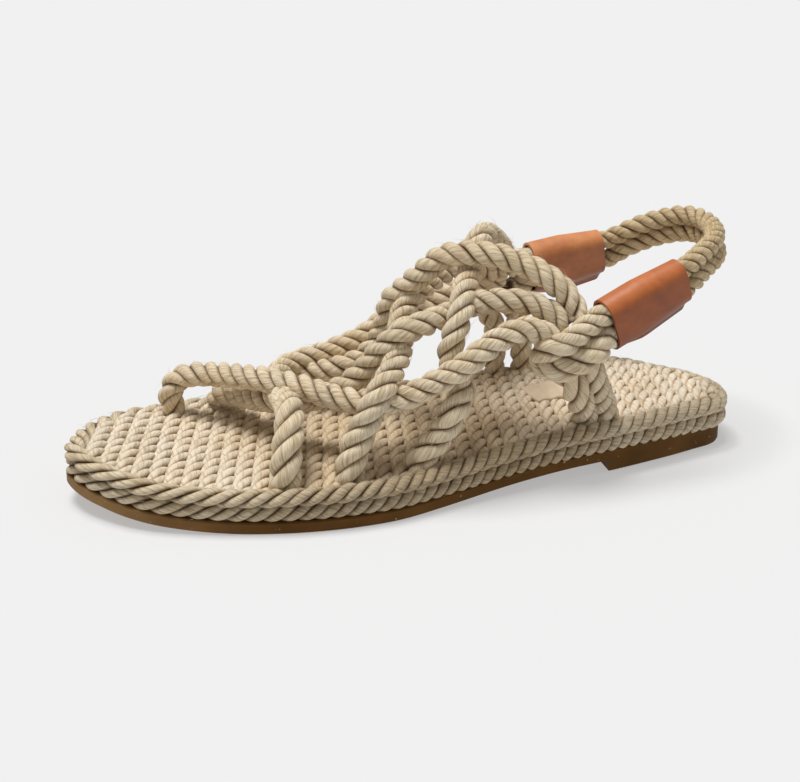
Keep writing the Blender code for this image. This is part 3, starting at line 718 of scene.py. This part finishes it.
def rubber_material():
    """Olive tan rubber, paler toward the toe, with fine light specks."""
    material, tree, bsdf = shader("rubber")
    spot = object_spot(tree)
    cloud = scaled_noise(tree, spot, even(60.0), 4.0)
    grain = scaled_noise(tree, spot, even(1400.0), 2.0)
    speck = scaled_noise(tree, spot, even(620.0), 1.0, 0.4)
    color = ramp(tree, cloud, ((0.3, RUBBER_TONES[0]), (0.7, RUBBER_TONES[1])))
    toe = ramp(tree, cloud, ((0.3, RUBBER_TOE_TONES[0]), (0.7, RUBBER_TOE_TONES[1])))
    color = mix(tree, "MIX", along_x(tree, spot, -0.072, -0.020, 1.0, 0.0), color, toe)
    specks = ramp(tree, speck, ((0.735, BLACK), (0.775, WHITE)))
    color = mix(tree, "MIX", specks, color, SPECK_TONE)
    tree.links.new(color, bsdf.inputs["Base Color"])
    settings(bsdf, Roughness=0.52, Specular_IOR_Level=0.12)
    bumped(tree, bsdf, grain, 0.25, 0.0002)
    return material


def leather_material(name, tint):
    """Tan leather: cloudy tone, fine pores and creases, painted shade on its lower side, darker at
    its cut edge.
    """
    material, tree, bsdf = shader(name)
    spot = object_spot(tree)
    cloud = scaled_noise(tree, spot, (70.0, 70.0, 110.0), 4.0, 0.6)
    pore = node(tree, "ShaderNodeTexVoronoi", Scale=1500.0)
    tree.links.new(spot, pore.inputs["Vector"])
    crease = scaled_noise(tree, spot, even(420.0), 5.0, 0.65)
    light = tuple(min(1.0, c * f) for c, f in zip(tint, (1.22, 1.30, 1.38)))
    dark = tuple(c * f for c, f in zip(tint, (0.80, 0.72, 0.66)))
    color = ramp(tree, cloud, ((0.28, dark), (0.50, tint), (0.74, light)))
    mottle = ramp(tree, crease, ((0.30, (0.88, 0.84, 0.80)), (0.60, WHITE)))
    color = mix(tree, "MULTIPLY", 0.6, color, mottle)
    # painted shade: darker towards the bottom of the wrap, its own tint at the top
    painted_low_shade = ramp(tree, attribute_of(tree, "tone"),
                   ((0.10, (0.32, 0.24, 0.18)), (0.50, (0.66, 0.59, 0.52)), (0.85, WHITE)))
    color = mix(tree, "MULTIPLY", 1.0, color, painted_low_shade)
    color = mix(tree, "MIX", attribute_of(tree, "crest"), color, LEATHER_EDGE)
    tree.links.new(color, bsdf.inputs["Base Color"])
    settings(bsdf, Roughness=0.46, Specular_IOR_Level=0.45, Coat_Weight=0.06, Coat_Roughness=0.4)
    bumped(tree, bsdf, mix(tree, "ADD", 0.5, crease, pore.outputs["Distance"]), 0.22, 0.00025)
    return material


def patch_material():
    material, tree, bsdf = shader("patch")
    spot = object_spot(tree)
    cloud = scaled_noise(tree, spot, even(120.0), 3.0)
    color = ramp(tree, cloud, ((0.3, PATCH_TONES[0]), (0.7, PATCH_TONES[1])))
    tree.links.new(color, bsdf.inputs["Base Color"])
    settings(bsdf, Roughness=0.75)
    weave = scaled_noise(tree, spot, (2200.0, 2200.0, 900.0), 2.0)
    bumped(tree, bsdf, weave, 0.2, 0.0002)
    return material


def dress(obj, material, cad_node):
    obj.data.materials.append(material)
    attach(obj, "root")
    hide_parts(cad_node)


# Sole

def crossing(loop, x):
    """Y of the loop's outer and inner side at x, or None beyond its ends."""
    spots = chord(loop, np.array((x, 0.0)), np.array((0.0, 1.0)))
    return None if spots is None else (spots[0][1], spots[1][1])


def make_outsole(outline, material):
    """Rubber sole as sections across the foot, with its edges rounded off."""
    rim = inset(outline, 0.0, HEEL_UNDERCUT)
    low, high = rim[:, 0].min(), rim[:, 0].max()
    turns = math.pi * (np.arange(SOLE_STATIONS) + 0.5) / SOLE_STATIONS
    xs = low + (high - low) * (0.5 - 0.5 * np.cos(turns))
    breast = length(HEEL_FRONT)
    xs = xs[np.abs(xs - breast) > 2.0 * HEEL_FRONT_SLOPE]
    corner = [breast - HEEL_FRONT_SLOPE, breast - 0.0004, breast, breast + 0.0006]
    xs = np.sort(np.append(xs, corner))
    cut_rims = {cut: inset(rim, cut) for cut in (SOLE_BEVEL, HEEL_BEVEL)}
    sections = []
    for x in xs:
        outer, inner = crossing(rim, x)
        in_outer, in_inner = crossing(cut_rims[SOLE_BEVEL], x) or (outer, inner)
        cut = HEEL_BEVEL if x >= breast else SOLE_BEVEL
        ground = crossing(cut_rims[cut], x)
        top = rubber_top(x)
        under = 0.0 if x >= breast else underside(x)
        if ground is None:
            ground = (outer, inner)
            under += cut
            cut = 0.0
        half = (outer + inner) / 2.0
        middle = (top + under + cut) / 2.0
        section = (
            (in_outer, top), (outer, top - SOLE_BEVEL), (outer, middle), (outer, under + cut),
            (ground[0] * 0.3 + outer * 0.7, under + cut * 0.3), (ground[0], under), (half, under),
            (ground[1], under), (ground[1] * 0.3 + inner * 0.7, under + cut * 0.3),
            (inner, under + cut), (inner, middle), (inner, top - SOLE_BEVEL), (in_inner, top),
            (half, top),
        )
        sections.append([(x, y, z) for y, z in section])
    rings = np.array(sections)
    count, sides = rings.shape[:2]
    grid = np.arange(count * sides).reshape(count, sides)
    first, second = grid[:-1], grid[1:]
    quads = np.stack([first, second, np.roll(second, -1, 1), np.roll(first, -1, 1)], -1)
    obj = build("rubber_outsole", rings.reshape(-1, 3), quads.reshape(-1, 4))
    capped(obj)
    obj.data.set_sharp_from_angle(angle=math.radians(38.0))
    dress(obj, material, "outsole")


def make_edge_rope(outline, rope, material):
    """Rope pressed on the rim. Returns its path."""
    line = resample(inset(outline, EDGE_ROPE_WIDTH / 2.0 - rope.out), 900, closed=True)
    rear = eased(np.clip((share_at(line[:, 0]) - 0.40) / 0.25, 0.0, 1.0))
    middle = (SEAT_GAP + EDGE_ROPE_HEIGHT / 2.0 + rope.row * (EDGE_ROPE_HEIGHT + SEAT_GAP)
              - RIM_SINK)
    line[:, 2] = rubber_top(line[:, 0]) + middle - rear * rope.rear_drop
    # the far rim lies lower at the toe and heel
    ends = np.clip((np.abs(share_at(line[:, 0]) - 0.5) - 0.28) / 0.08, 0.0, 1.0)
    line[:, 2] -= rope.far_drop * ends * np.clip(line[:, 1] / 0.020, 0.0, 1.0)
    rings = int(round(measured(line, True)[1][-1] / RIM_STEP))
    x = resample(line, rings, closed=True)[:, 0]
    share = eased(np.clip(share_at(x) / 0.55, 0.0, 1.0))
    strand = rope.toe_strand + (rope.heel_strand - rope.toe_strand) * share
    grow = 1.0 + rope.swell * share
    arrays = stranded(line, rope.width, STRANDS * strand, 14, RIM_STEP, lay=-1.0, phase=0.4,
                      height=rope.height * grow, up=UP, closed=True, fat=0.46, seed=rope.seed)
    dress(build(rope.name, *arrays), material, rope.cad_node)
    return line


def make_rows(outline, material):
    """Rows of rope laid side by side across the foot."""
    edge = inset(outline, ROW_INSET)
    pieces = []
    x = length(0.0) + ROW_END_GAP
    start = 0.0
    index = 0
    while x < length(1.0) - ROW_END_GAP:
        lean = math.radians(np.interp(x, ROW_SPOTS, ROW_LEANS))
        spacing = float(np.interp(x, ROW_SPOTS, ROW_SPACINGS))
        bump = float(np.interp(x, ROW_SPOTS, ROW_BUMPS))
        direction = np.array((math.sin(lean), math.cos(lean)))
        ends = chord(edge, np.array((x, 0.0)), direction)
        if ends is not None and np.linalg.norm(ends[1] - ends[0]) > ROW_SHORTEST:
            flat = np.linspace(0.0, 1.0, ROW_POINTS)[:, None]
            flat = ends[0] + (ends[1] - ends[0]) * flat
            dice = np.random.default_rng(200 + index)
            sway = 0.00022 * smooth_noise(dice, ROW_POINTS, 3, False)
            flat = flat + np.array((math.cos(lean), -math.sin(lean))) * sway[:, None]
            from_end = np.arange(ROW_POINTS)
            from_end = np.minimum(from_end, from_end[::-1])
            sag = 0.0007 * np.clip(1.0 - from_end / 5.0, 0.0, 1.0)
            ripple = 0.00015 * smooth_noise(dice, ROW_POINTS, 4, False)
            z = footbed(flat[:, 0]) - ROW_HEIGHT / 2.0 + ROW_RISE - sag + ripple
            line = np.column_stack([flat, z])
            pitch = STRANDS * bump * (1.0 + 0.03 * dice.uniform(-1.0, 1.0))
            shear = 0.16 * min(1.0, max(0.0, (0.06 - x) / 0.08))
            # crests line up with those of the row before, shifted across the foot
            reach = -start - (ends[0] @ direction)
            phase = -TURN * reach / pitch + 0.25 * dice.uniform(-1.0, 1.0)
            pieces.append(stranded(line, spacing * ROW_OVERLAP, pitch, 10, 0.0011, phase=phase,
                                   height=ROW_HEIGHT, up=UP, fat=0.53, seed=300 + index,
                                   shear=shear))
        start += float(np.interp(x, ROW_SPOTS, ROW_STEPS_ACROSS))
        x += spacing
        index += 1
    dress(build("footbed_rows", *joined(pieces)), material, "insole")


def make_core(outline):
    """Dark filling below the rows, seen only between them, where its colour is painted shade."""
    base = inset(outline, CORE_INSET)
    loops = []
    for level, cut in ((CORE_BOTTOM, 0.0), (CORE_TOP, 0.0), (CORE_TOP, CORE_INSET)):
        loop = inset(base, cut) if cut else base.copy()
        loop[:, 2] = rubber_top(loop[:, 0]) + level
        loops.append(loop)
    count = len(base)
    grid = np.arange(len(loops) * count).reshape(len(loops), count)
    lower, upper = grid[:-1], grid[1:]
    quads = np.stack([lower, np.roll(lower, -1, 1), np.roll(upper, -1, 1), upper], -1)
    core = build("footbed_core", np.concatenate(loops), quads.reshape(-1, 4))
    capped(core, split=True)
    material, _, bsdf = shader("footbed_core")
    # dark brown: painted shade in the gaps between the rows
    settings(bsdf, Base_Color=(0.30, 0.21, 0.12, 1.0), Roughness=0.9)
    dress(core, material, "insole")


def make_patch(material):
    """Smooth blank patch that follows the rows below it a little."""
    centre = np.array((length(PATCH_ALONG), PATCH_ACROSS * BALL_WIDTH))
    turn = math.radians(PATCH_TURN_DEGREES)
    along = np.array((math.cos(turn), math.sin(turn)))
    across = np.array((-along[1], along[0]))
    nu, nv = 60, 34
    u, v = np.meshgrid(np.linspace(-1.0, 1.0, nu), np.linspace(-1.0, 1.0, nv), indexing="ij")
    round_off = 1.0 - 0.04 * (np.abs(u) ** 6) * (np.abs(v) ** 6)
    flat = (centre + (u * round_off * PATCH_LENGTH / 2.0)[..., None] * along
            + (v * round_off * PATCH_WIDTH / 2.0)[..., None] * across)
    wave = 0.00025 * np.cos(TURN * flat[..., 0] / 0.0058)
    drop = 0.0006 * (np.maximum(np.abs(u), np.abs(v)) ** 8)
    z = footbed(flat[..., 0]) + 0.0010 + wave - drop
    top = np.dstack([flat, z]).reshape(-1, 3)
    bottom = top - np.array((0.0, 0.0, PATCH_THICKNESS))
    grid = np.arange(nu * nv).reshape(nu, nv)
    corners = [grid[:-1, :-1], grid[1:, :-1], grid[1:, 1:], grid[:-1, 1:]]
    face = np.stack(corners, -1).reshape(-1, 4)
    rim = np.concatenate([grid[:-1, 0], grid[-1, :-1], grid[:0:-1, -1], grid[0, :0:-1]])
    following = np.roll(rim, -1)
    shift = nu * nv
    skirt = np.stack([rim, rim + shift, following + shift, following], 1)
    quads = np.concatenate([face, face[:, ::-1] + shift, skirt])
    obj = build("footbed_patch", np.concatenate([top, bottom]), quads)
    dress(obj, material, "insole_patch")


# Ropes

Rope = namedtuple("Rope", "name route foot top phase late steeper", defaults=(0.0, 0.0))


def make_ropes(material):
    """Web, knots and their legs, from the foot up.

    A rope narrows from foot to top, from the share late of its way, and steeper is how much longer
    its strands' turns are below that.
    """
    outer_upper = knot_tail("outer", 1.0)[::-1]
    outer_tuck = knot_tail("outer", -1.0) + [place(knee) for knee in OUTER_TUCK]
    inner_upper = knot_tail("inner", 1.0)[::-1]
    inner_tuck = knot_tail("inner", -1.0) + [place(knee) for knee in INNER_TUCK]
    stout, thick = KNOT_ROPE * 1.20, KNOT_ROPE * 1.15
    ropes = (
        Rope("web_inner_front", legged(INNER_FRONT), WEB_ROPE, WEB_ROPE, 0.0),
        Rope("web_inner_middle", legged(INNER_MIDDLE), WEB_ROPE, WEB_ROPE, 0.7),
        Rope("web_inner_rear", legged(INNER_REAR), WEB_ROPE, WEB_ROPE, 1.3),
        Rope("web_outer_front", legged(OUTER_FRONT), LEG_ROPE, WEB_ROPE, 0.3),
        Rope("web_outer_middle", legged(OUTER_MIDDLE), LEG_ROPE, WEB_ROPE, 0.9),
        Rope("web_outer_rear", legged(OUTER_REAR), LEG_ROPE, WEB_ROPE, 1.7),
        Rope("knot_outer_wrap", legged(OUTER_WRAP) + outer_upper, stout, KNOT_ROPE, 0.2,
             late=0.32, steeper=0.45),
        Rope("knot_outer_tuck", outer_tuck, KNOT_ROPE, thick, 0.5),
        Rope("knot_outer_leg", legged(OUTER_SPARE_LEG), stout, KNOT_ROPE, 1.1, steeper=0.45),
        Rope("knot_inner_wrap", legged(INNER_WRAP) + inner_upper, KNOT_ROPE, KNOT_ROPE, 0.4),
        Rope("knot_inner_tuck", inner_tuck, KNOT_ROPE, KNOT_ROPE, 0.1),
        Rope("knot_inner_leg", legged(INNER_SPARE_LEG), KNOT_ROPE, KNOT_ROPE, 1.9),
    )
    tracks = []
    for index, rope in enumerate(ropes):
        path = smooth_path(rope.route, 10)
        total = measured(path)[1][-1]
        rings = int(round(total / ROPE_STEP))
        share = np.clip((np.linspace(0.0, 1.0, rings) - rope.late) / 0.35, 0.0, 1.0)
        width = rope.foot + (rope.top - rope.foot) * share
        pitch = width * (ROPE_PITCH + rope.steeper * (1.0 - share))
        arrays = stranded(path, width, pitch, ROPE_SIDES, ROPE_STEP, phase=rope.phase,
                          seed=20 + index)
        dress(build(rope.name, *arrays), material, "upper")
        tracks.append((resample(path, 120), rope.top / 2.0, int(total * STRAYS_PER_METRE)))
    make_strays("web_stray_fibres", tracks, material, "upper", 71)


def make_strays(name, tracks, material, cad_node, seed):
    """Loose fibres that lift off ropes. A track is a path, the rope's radius and a count."""
    dice = np.random.default_rng(seed)
    sides, steps = 3, 7
    turns = TURN * np.arange(sides) / sides
    across, up = np.cos(turns)[None, :, None], np.sin(turns)[None, :, None]
    verts, quads, uvs, crest, tone = [], [], [], [], []
    grid = np.arange(steps * sides).reshape(steps, sides)
    faces = tube_quads(grid[:-1], grid[1:])
    t = np.linspace(0.0, 1.0, steps)[:, None]
    for path, radius, count in tracks:
        tangent, normal, side = frames_along(path, False)
        for _ in range(count):
            at = dice.integers(2, len(path) - 2)
            turn = dice.uniform(0.0, TURN)
            out = math.cos(turn) * normal[at] + math.sin(turn) * side[at]
            if out[2] < -0.5:
                out = -out
            along = tangent[at] * dice.choice((-1.0, 1.0))
            around = np.cross(along, out) * dice.uniform(-0.7, 0.7)
            reach = dice.uniform(0.0025, 0.0065)
            lift = dice.uniform(0.10, 0.38) * reach
            line = (path[at] + out * radius * 0.93 + reach * t * (along + around * t)
                    + out * lift * t * (1.6 - t))
            curl = 0.0004 * np.sin(3.0 * t * dice.uniform(1.0, 2.2))
            line = line + curl * np.cross(along, out)
            thick = (dice.uniform(0.00005, 0.00009) * (1.0 - 0.7 * t))[:, None]
            _, n_axis, s_axis = frames_along(line, False)
            ring = line[:, None] + thick * (across * n_axis[:, None] + up * s_axis[:, None])
            quads.append(faces + len(verts) * steps * sides)
            verts.append(ring.reshape(-1, 3))
            uvs.append(np.tile(dice.uniform(0.0, 9.0, 2), (steps * sides, 1)))
            crest.append(np.ones(steps * sides))
            tone.append(np.full(steps * sides, dice.uniform(0.0, 1.0)))
    obj = build(name, *[np.concatenate(part) for part in (verts, quads, uvs, crest, tone)])
    capped(obj)
    dress(obj, material, cad_node)


def make_heel_rope(name, cad_node, level, material, seed):
    """One rope of the heel strap; level is 1 for the upper and -1 for the lower."""
    drop = HEEL_ROPE * (0.02 if level > 0 else 0.92)
    out = 0.0 if level > 0 else LOWER_ROPE_OUT
    loop = [place(knee) + np.array((out, 0.0, -drop)) for knee in HEEL_LOOP]
    route = strap_tail("outer", level) + loop + strap_tail("inner", level)[::-1]
    width = HEEL_ROPE * 1.07
    arrays = stranded(smooth_path(route, 12), width, width * 2.0, ROPE_SIDES, 0.0007, phase=0.3,
                      seed=seed)
    dress(build(name, *arrays), material, cad_node)


def make_sleeve(side, material):
    """Leather wrap round two ropes, with its seam pressed flat below."""
    front, rear, along, up, sideways = sleeve_frame(side)
    reach = np.linalg.norm(rear - front)
    sides, rings = 64, 46
    slack = 2.0 * SEAT_GAP
    turn = TURN * (np.arange(sides) + 0.5) / sides
    pinch = np.exp(-((turn - 1.5 * math.pi) / 0.22) ** 2)
    outer_rings, inner_rings = [], []
    for share in np.linspace(0.0, 0.95, rings):
        taper = min(1.0, max(0.0, (share - 0.42) / 0.5))
        rope = KNOT_ROPE + (HEEL_ROPE - KNOT_ROPE) * taper
        centre = front + along * (share * reach)
        for margin, found in ((slack + SLEEVE_WALL, outer_rings), (slack, inner_rings)):
            radius = rope / 2.0 + margin
            wide = radius * np.cos(turn) * 0.99
            tall = np.where(np.sin(turn) > 0.0, rope / 2.0, -rope / 2.0) * 0.92
            tall = tall + radius * np.sin(turn)
            if margin > slack:
                depth = SLEEVE_SEAM_DROP * min(1.0, share / 0.35) * min(1.0, (0.96 - share) / 0.06)
                tall = tall - depth * pinch
                wide = wide * (1.0 - 0.35 * pinch)
            found.append(centre + wide[:, None] * sideways + tall[:, None] * up)
    loops = np.array(outer_rings + inner_rings[::-1])
    count = len(loops)
    grid = np.arange(count * sides).reshape(count, sides)
    quads = tube_quads(grid, np.roll(grid, -1, 0))
    # crest marks the inside and the cut edges, and tone is the height round the wrap, which drives
    # painted shade on its lower side
    crest = np.zeros((count, sides))
    crest[rings:] = 0.6
    tone = np.tile(0.5 + 0.5 * np.sin(turn), (count, 1))
    obj = build("leather_sleeve_" + side, loops.reshape(-1, 3), quads, crest=crest.ravel(),
                tone=tone.ravel())
    obj.data.set_sharp_from_angle(angle=math.radians(50.0))
    dress(obj, material, "sleeve_" + side)


# Floor, light and camera

def make_stage():
    bpy.ops.mesh.primitive_plane_add(size=FLOOR_SIZE, location=FLOOR_SPOT)
    floor = bpy.context.object
    floor.name = "floor"
    material, _, bsdf = shader("floor")
    # part of the floor's light is its own, so the shadows on it stay pale
    settings(bsdf, Base_Color=(*even(FLOOR_TONE), 1.0), Roughness=0.9, Specular_IOR_Level=0.0,
             Emission_Color=(1.0, 1.0, 1.0, 1.0), Emission_Strength=FLOOR_GLOW)
    floor.data.materials.append(material)

    scene = bpy.context.scene
    world = bpy.data.worlds.new("studio")
    scene.world = world
    world.use_nodes = True
    settings(world.node_tree.nodes["Background"], Color=(1.0, 1.0, 1.0, 1.0),
             Strength=SKY_STRENGTH)

    light = bpy.data.lights.new("key", "SUN")
    light.energy = KEY_STRENGTH
    light.angle = math.radians(KEY_SPREAD)
    lamp = bpy.data.objects.new("key", light)
    lamp.rotation_euler = Vector(KEY_DIRECTION).to_track_quat("Z", "Y").to_euler()
    scene.collection.objects.link(lamp)

    lens = bpy.data.cameras.new("camera")
    lens.sensor_width = SENSOR_WIDTH
    lens.lens = FOCAL_LENGTH
    lens.clip_start = 0.02
    lens.clip_end = 30.0
    camera = bpy.data.objects.new("camera", lens)
    turn, tilt = math.radians(CAMERA_TURN), math.radians(CAMERA_TILT)
    back = Vector((math.sin(turn) * math.cos(tilt), -math.cos(turn) * math.cos(tilt),
                   math.sin(tilt)))
    camera.location = Vector(CAMERA_TARGET) + back * CAMERA_DISTANCE
    camera.rotation_euler = back.to_track_quat("Z", "Y").to_euler()
    scene.collection.objects.link(camera)
    bpy.context.scene.camera = camera
    scene.view_settings.view_transform = "Standard"
    scene.view_settings.look = "None"


make_stage()
outline = sole_outline()
web = rope_material("web_rope", WEB_TONES)
strap = rope_material("strap_rope", STRAP_SHADED_TONES)
edge = rope_material("edge_rope", EDGE_TONES, fibre=0.9, shade_and_wear=EDGE_SHADE_AND_WEAR, shade_and_wear_end=0.68)
rows = rope_material("footbed_rope", ROW_TONES, fibre=0.9, shade_and_wear=ROW_SHADE_AND_WEAR)
make_outsole(outline, rubber_material())
rim_lines = [make_edge_rope(outline, rope, edge) for rope in RIM_ROPES]
make_rows(outline, rows)
make_core(outline)
for name, cad_node, line, count, seed in (
        ("edge_stray_fibres_lower", "edge_rope_lower", rim_lines[0], 240, 72),
        ("edge_stray_fibres_upper", "edge_rope_upper", rim_lines[1], 160, 73)):
    make_strays(name, ((line, RIM_STRAY_RADIUS, count),), edge, cad_node, seed)
make_patch(patch_material())
make_ropes(web)
make_heel_rope("strap_rope_upper", "heel_rope_upper", 1.0, strap, 51)
make_heel_rope("strap_rope_lower", "heel_rope_lower", -1.0, strap, 52)
make_sleeve("outer", leather_material("leather_outer", LEATHER_OUTER))
make_sleeve("inner", leather_material("leather_inner", LEATHER_INNER_LIT))
